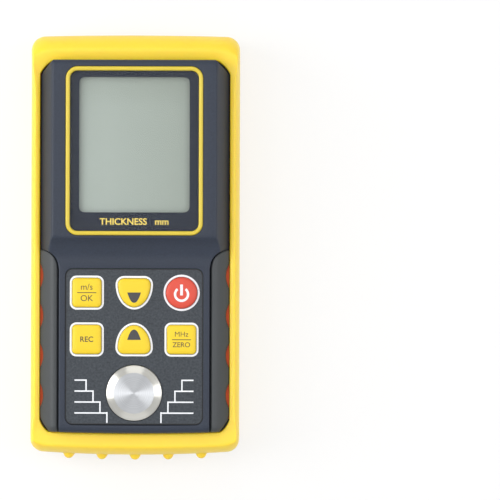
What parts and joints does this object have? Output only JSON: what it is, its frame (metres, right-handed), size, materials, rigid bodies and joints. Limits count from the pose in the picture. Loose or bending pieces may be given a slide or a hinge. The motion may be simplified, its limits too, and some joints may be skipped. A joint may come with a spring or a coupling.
{
  "type": "ultrasonic thickness gauge",
  "caption": "Handheld meter in a yellow rubber boot, with display window, sprung keypad, steel calibration disc and coaxial probe sockets, for reading wall thickness by ultrasound.",
  "frame": {"origin": "middle of the back of the boot, on the surface that the gauge lies on", "axes": "+X to the right of the face, +Y towards the probe sockets, +Z out of the face"},
  "size_m": [0.0754, 0.154, 0.0353],
  "materials": {
    "boot_rubber": "satin moulded",
    "case_plastic": "fine texture",
    "rear_plastic": "fine texture",
    "grip_rubber": "satin",
    "strip_rubber": "satin",
    "frame_plastic": "semi gloss",
    "window_clear": "clear",
    "mask_black": "printed",
    "lcd_glass": "grey green panel",
    "holder_plastic": "moulded",
    "contact_rubber": "layered rubber",
    "film_plastic": "fine texture",
    "print_white": "ink",
    "key_yellow": "semi gloss",
    "key_red": "semi gloss",
    "dome_rubber": "silicone",
    "disc_steel": "turned",
    "board_laminate": "solder mask",
    "chip_plastic": "moulded",
    "ferrite": "sintered",
    "can_aluminium": "drawn can",
    "socket_nickel": "nickel plated",
    "insulator_plastic": "turned",
    "contact_gold": "gold plated",
    "lead_black": "sleeve",
    "lead_red": "sleeve",
    "cell_sleeve": "printed sleeve",
    "contact_steel": "nickel plated",
    "screw_steel": "zinc plated"
  },
  "bodies": {
    "gauge": {"boot": "boot_rubber", "front_case": "case_plastic", "rear_case": "rear_plastic", "left_grip": "grip_rubber", "right_grip": "grip_rubber", "left_side_strip": "strip_rubber", "right_side_strip": "strip_rubber", "window_frame": "frame_plastic", "display_window": "window_clear", "window_mask": "mask_black", "lcd_panel": "lcd_glass", "lcd_frame": "holder_plastic", "contact_strips": "contact_rubber", "keypad_overlay": "film_plastic", "panel_print": "print_white", "dome_mat": "dome_rubber", "calibration_disc": "disc_steel", "main_board": "board_laminate", "controller_chip": "chip_plastic", "amplifier_chip": "chip_plastic", "pulse_transformer": "ferrite", "reservoir_capacitor": "can_aluminium", "timing_crystal": "can_aluminium", "probe_socket_left": "socket_nickel", "probe_socket_right": "socket_nickel", "socket_nuts": "socket_nickel", "socket_insulators": "insulator_plastic", "socket_contacts": "contact_gold", "probe_leads": "lead_black", "battery_cells": "cell_sleeve", "battery_contacts": "contact_steel", "battery_leads": "lead_red", "case_screws": "screw_steel", "board_screws": "screw_steel"},
    "key_select": {"key_select": "key_yellow"},
    "key_down": {"key_down": "key_yellow"},
    "key_power": {"key_power": "key_red"},
    "key_memory": {"key_memory": "key_yellow"},
    "key_up": {"key_up": "key_yellow"},
    "key_zero": {"key_zero": "key_yellow"},
    "door": {"battery_door": "rear_plastic"}
  },
  "joints": [
    {"name": "key_select_press", "type": "slide", "parent": "gauge", "child": "key_select", "axis": [0, 0, -1], "range_m": [0, 0.0008], "stiffness_N_per_m": 350, "deforming": ["dome_mat"]},
    {"name": "key_down_press", "type": "slide", "parent": "gauge", "child": "key_down", "axis": [0, 0, -1], "range_m": [0, 0.0008], "stiffness_N_per_m": 350, "deforming": ["dome_mat"]},
    {"name": "key_power_press", "type": "slide", "parent": "gauge", "child": "key_power", "axis": [0, 0, -1], "range_m": [0, 0.0008], "stiffness_N_per_m": 350, "deforming": ["dome_mat"]},
    {"name": "key_memory_press", "type": "slide", "parent": "gauge", "child": "key_memory", "axis": [0, 0, -1], "range_m": [0, 0.0008], "stiffness_N_per_m": 350, "deforming": ["dome_mat"]},
    {"name": "key_up_press", "type": "slide", "parent": "gauge", "child": "key_up", "axis": [0, 0, -1], "range_m": [0, 0.0008], "stiffness_N_per_m": 350, "deforming": ["dome_mat"]},
    {"name": "key_zero_press", "type": "slide", "parent": "gauge", "child": "key_zero", "axis": [0, 0, -1], "range_m": [0, 0.0008], "stiffness_N_per_m": 350, "deforming": ["dome_mat"]},
    {"name": "battery_door_hinge", "type": "hinge", "parent": "gauge", "child": "door", "pos_m": [0, 0.00641, 0.0036], "axis": [1, 0, 0], "range_deg": [0, 90]}
  ]
}
